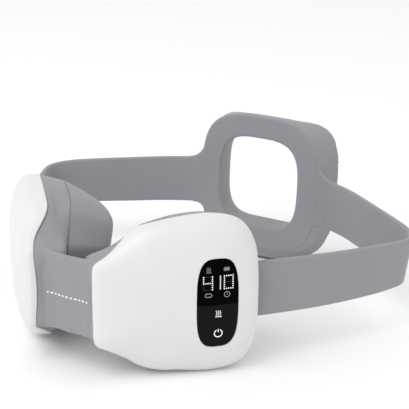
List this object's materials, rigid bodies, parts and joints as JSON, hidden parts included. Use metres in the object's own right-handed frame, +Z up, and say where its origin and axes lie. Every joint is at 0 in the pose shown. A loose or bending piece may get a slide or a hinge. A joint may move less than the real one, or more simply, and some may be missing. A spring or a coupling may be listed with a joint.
{
  "type": "eye massager mask",
  "caption": "Two hard massage pods with a touch display, soft face pads, a folding soft nose bridge and a silicone headband with an open back ring.",
  "frame": {"origin": "centre of the bounding box at floor level", "axes": "+X toward the pod with the display (the viewer's right from the front), -Y toward the front of the mask, +Z up"},
  "size_m": [0.2282, 0.1969, 0.0865],
  "materials": {
    "white_plastic": "satin white moulding",
    "black_glass": "gloss black touch window",
    "dark_plastic": "matte black",
    "grey_plastic": "matte grey",
    "grey_silicone": "matte soft-touch silicone",
    "foam": "open-cell foam",
    "heating_film": "polyimide film",
    "circuit_board": "solder resist",
    "steel": "plated",
    "brass": "plain",
    "battery_wrap": "foil pouch"
  },
  "bodies": {
    "right_pod": {"front_shell_right": "white_plastic", "rear_cover_right": "grey_plastic", "face_pad_right": "grey_silicone", "foam_core_right": "foam", "heating_film_right": "heating_film", "motor_right": "steel", "motor_clip_right": "grey_plastic", "bridge_clamp_right": "grey_plastic", "band_anchor_right": "grey_plastic", "band_end_right": "grey_silicone", "screw_right_1": "steel", "screw_right_2": "steel", "screw_right_3": "steel", "screw_right_4": "steel", "display_lens": "black_glass", "display_frame": "dark_plastic", "display_board": "circuit_board", "touch_spring_mode": "brass", "touch_spring_power": "brass", "main_board": "circuit_board", "buzzer": "dark_plastic", "charge_port": "steel", "nose_bridge": "grey_silicone", "bridge_cable": "dark_plastic"},
    "left_pod": {"front_shell_left": "white_plastic", "rear_cover_left": "grey_plastic", "face_pad_left": "grey_silicone", "foam_core_left": "foam", "heating_film_left": "heating_film", "motor_left": "steel", "motor_clip_left": "grey_plastic", "bridge_clamp_left": "grey_plastic", "band_anchor_left": "grey_plastic", "band_end_left": "grey_silicone", "screw_left_1": "steel", "screw_left_2": "steel", "screw_left_3": "steel", "screw_left_4": "steel", "battery": "battery_wrap"},
    "band_right": {"band_right": "grey_silicone"},
    "back_ring": {"back_ring": "grey_silicone"},
    "band_left": {"band_left": "grey_silicone"},
    "weight_right": {"motor_weight_right": "brass"},
    "weight_left": {"motor_weight_left": "brass"}
  },
  "joints": [
    {"name": "bridge_fold", "type": "hinge", "parent": "right_pod", "child": "left_pod", "pos_m": [0, -0.09498, 0.0376], "axis": [0, 0, 1], "range_deg": [-12, 26], "stiffness_Nm_per_rad": 0.08, "deforming": ["nose_bridge", "bridge_cable"]},
    {"name": "right_temple_flex", "type": "hinge", "parent": "right_pod", "child": "band_right", "pos_m": [0.06867, -0.03995, 0.0376], "axis": [0, 0, 1], "range_deg": [-9.03, 18.98], "stiffness_Nm_per_rad": 0.03},
    {"name": "right_ring_flex", "type": "hinge", "parent": "band_right", "child": "back_ring", "pos_m": [0.048, 0.07852, 0.0415], "axis": [0, 0, 1], "range_deg": [-5.98, 3.03], "stiffness_Nm_per_rad": 0.03},
    {"name": "left_ring_flex", "type": "hinge", "parent": "back_ring", "child": "band_left", "pos_m": [-0.048, 0.07852, 0.0415], "axis": [0, 0, 1], "range_deg": [-5.98, 3.03], "stiffness_Nm_per_rad": 0.03},
    {"name": "weight_spin_right", "type": "hinge", "parent": "right_pod", "child": "weight_right", "pos_m": [0.03427, -0.07562, 0.0376], "axis": [0, 0, 1], "continuous": true},
    {"name": "weight_spin_left", "type": "hinge", "parent": "left_pod", "child": "weight_left", "pos_m": [-0.03427, -0.07562, 0.0376], "axis": [0, 0, 1], "continuous": true}
  ],
  "couplings": [
    {"joint": "right_temple_flex", "follows": "bridge_fold", "ratio": 0.7108},
    {"joint": "right_ring_flex", "follows": "bridge_fold", "ratio": -0.2108},
    {"joint": "left_ring_flex", "follows": "bridge_fold", "ratio": -0.2108}
  ]
}
